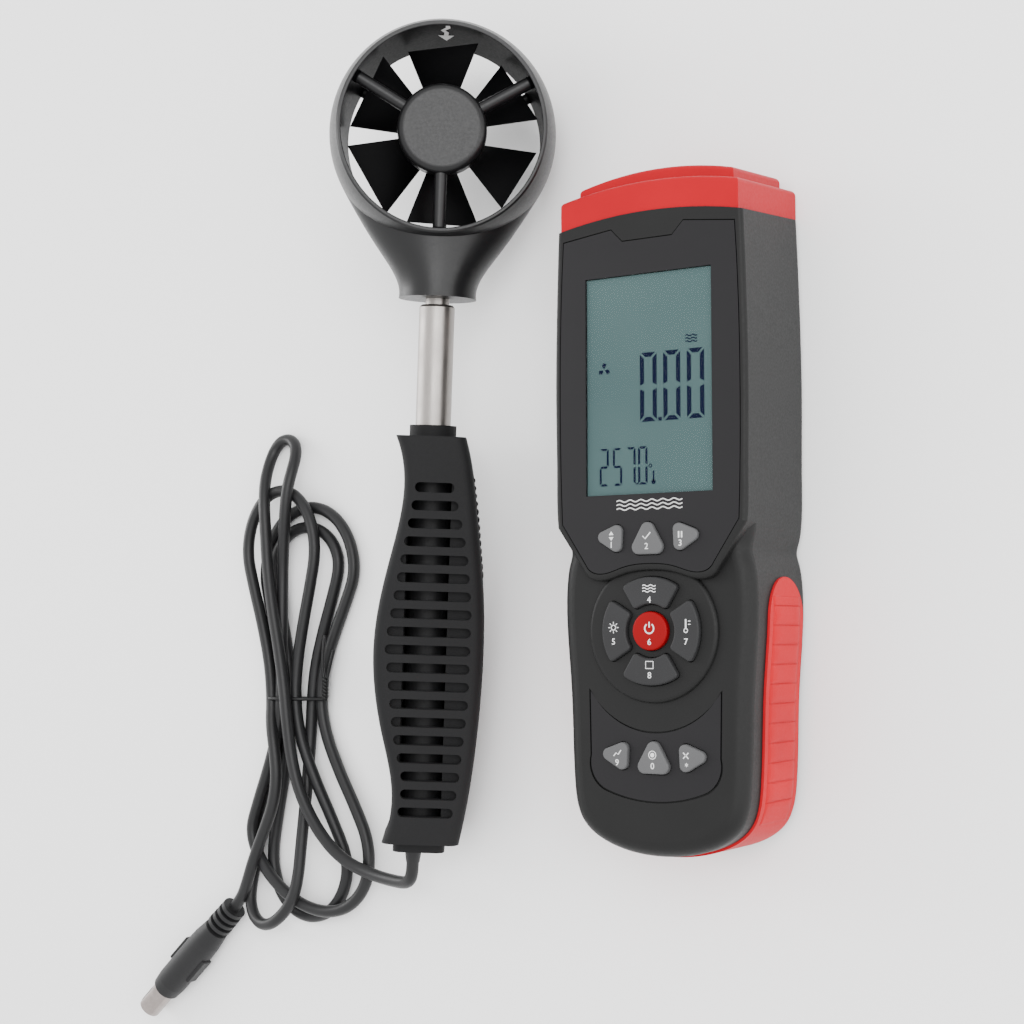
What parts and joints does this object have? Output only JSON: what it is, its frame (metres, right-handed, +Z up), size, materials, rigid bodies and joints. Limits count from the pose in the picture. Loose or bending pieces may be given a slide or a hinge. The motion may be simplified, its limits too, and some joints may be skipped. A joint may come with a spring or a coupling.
{
  "type": "vane anemometer",
  "caption": "Hand-held air velocity meter with a large display and rubber keys, and a wired telescopic probe with a vane rotor in a round duct, its cable tied in a hank.",
  "frame": {"origin": "on the meter's flat back, in the middle of its width, 107 mm from its foot", "axes": "+X to the meter's right, +Y along the meter towards its display and cap, +Z up, out of the display"},
  "size_m": [0.282, 0.3638, 0.0676],
  "materials": {
    "case_black": "fine matte texture",
    "panel_dark": "smooth satin",
    "grip_red": "soft matte",
    "cap_red": "satin",
    "key_grey": "soft matte",
    "key_dark": "soft matte",
    "key_red": "soft satin",
    "key_mat": "matte",
    "window_clear": "clear",
    "lcd_screen": "grey-green display",
    "lcd_holder": "white",
    "board_green": "solder mask",
    "battery_case": "plain",
    "socket_black": "moulded",
    "screw_steel": "zinc plated",
    "handle_black": "fine matte",
    "core_black": "moulded",
    "rod_steel": "drawn tube",
    "head_black": "satin",
    "vane_black": "satin",
    "bearing_steel": "ground",
    "magnet_grey": "sintered",
    "cable_black": "satin jacket",
    "tie_black": "plastic-covered wire",
    "plug_black": "moulded",
    "plug_metal": "nickel plated"
  },
  "bodies": {
    "meter": {"rear_cover": "case_black", "front_cover": "case_black", "grip_band": "grip_red", "top_cap": "cap_red", "probe_socket": "socket_black", "socket_contacts": "socket_black", "case_screws": "screw_steel", "display_panel": "panel_dark", "key_panel": "panel_dark", "lcd_window": "window_clear", "lcd_glass": "lcd_screen", "lcd_backlight": "lcd_holder", "circuit_board": "board_green", "keypad_mat": "key_mat", "battery": "battery_case", "battery_snap": "socket_black"},
    "door": {"battery_door": "case_black", "door_screw": "screw_steel"},
    "grip": {"grip_front": "handle_black", "grip_rear": "handle_black", "grip_screws": "screw_steel", "grip_collar": "handle_black", "grip_core": "core_black", "end_cap": "handle_black", "outer_tube": "rod_steel", "tube_bush": "core_black", "tube_nose": "rod_steel", "cable_gland": "cable_black", "cable_lead": "cable_black", "cable_hank": "cable_black", "cable_tail": "cable_black", "twist_tie": "tie_black", "plug_body": "plug_black", "plug_shell": "plug_metal", "plug_insert": "socket_black", "plug_pins": "plug_metal"},
    "head": {"inner_tube": "rod_steel", "tube_stop": "core_black", "head_shroud": "head_black", "front_spider": "head_black", "rear_spider": "head_black", "front_bearing": "bearing_steel", "rear_bearing": "bearing_steel", "sensor_chip": "socket_black"},
    "rotor": {"impeller": "vane_black", "rotor_shaft": "bearing_steel", "rotor_magnet": "magnet_grey"},
    "key_upper_left": {"key_upper_left": "key_grey"},
    "key_upper_middle": {"key_upper_middle": "key_grey"},
    "key_upper_right": {"key_upper_right": "key_grey"},
    "key_ring_top": {"key_ring_top": "key_dark"},
    "key_ring_left": {"key_ring_left": "key_dark"},
    "key_ring_right": {"key_ring_right": "key_dark"},
    "key_ring_bottom": {"key_ring_bottom": "key_dark"},
    "key_power": {"key_power": "key_red"},
    "key_lower_left": {"key_lower_left": "key_grey"},
    "key_lower_middle": {"key_lower_middle": "key_grey"},
    "key_lower_right": {"key_lower_right": "key_grey"}
  },
  "joints": [
    {"name": "door_lift", "type": "slide", "parent": "meter", "child": "door", "axis": [0, 0, -1], "range_m": [0, 0.02]},
    {"name": "probe_lift", "type": "slide", "parent": "meter", "child": "grip", "axis": [0, 0, 1], "range_m": [0, 0.12]},
    {"name": "rod_extend", "type": "slide", "parent": "grip", "child": "head", "axis": [0.0781, 0.9951, 0.06], "range_m": [0, 0.085]},
    {"name": "rotor_spin", "type": "hinge", "parent": "head", "child": "rotor", "pos_m": [-0.08597, 0.1359, 0.03396], "axis": [0.5396, -0.0928, 0.8368], "continuous": true},
    {"name": "key_upper_left_press", "type": "slide", "parent": "meter", "child": "key_upper_left", "axis": [0, 0, -1], "range_m": [0, 0.0008], "stiffness_N_per_m": 900},
    {"name": "key_upper_middle_press", "type": "slide", "parent": "meter", "child": "key_upper_middle", "axis": [0, 0, -1], "range_m": [0, 0.0008], "stiffness_N_per_m": 900},
    {"name": "key_upper_right_press", "type": "slide", "parent": "meter", "child": "key_upper_right", "axis": [0, 0, -1], "range_m": [0, 0.0008], "stiffness_N_per_m": 900},
    {"name": "key_ring_top_press", "type": "slide", "parent": "meter", "child": "key_ring_top", "axis": [0, 0, -1], "range_m": [0, 0.0008], "stiffness_N_per_m": 900},
    {"name": "key_ring_left_press", "type": "slide", "parent": "meter", "child": "key_ring_left", "axis": [0, 0, -1], "range_m": [0, 0.0008], "stiffness_N_per_m": 900},
    {"name": "key_ring_right_press", "type": "slide", "parent": "meter", "child": "key_ring_right", "axis": [0, 0, -1], "range_m": [0, 0.0008], "stiffness_N_per_m": 900},
    {"name": "key_ring_bottom_press", "type": "slide", "parent": "meter", "child": "key_ring_bottom", "axis": [0, 0, -1], "range_m": [0, 0.0008], "stiffness_N_per_m": 900},
    {"name": "key_power_press", "type": "slide", "parent": "meter", "child": "key_power", "axis": [0, 0, -1], "range_m": [0, 0.0008], "stiffness_N_per_m": 900},
    {"name": "key_lower_left_press", "type": "slide", "parent": "meter", "child": "key_lower_left", "axis": [0, 0, -1], "range_m": [0, 0.0008], "stiffness_N_per_m": 900},
    {"name": "key_lower_middle_press", "type": "slide", "parent": "meter", "child": "key_lower_middle", "axis": [0, 0, -1], "range_m": [0, 0.0008], "stiffness_N_per_m": 900},
    {"name": "key_lower_right_press", "type": "slide", "parent": "meter", "child": "key_lower_right", "axis": [0, 0, -1], "range_m": [0, 0.0008], "stiffness_N_per_m": 900}
  ]
}
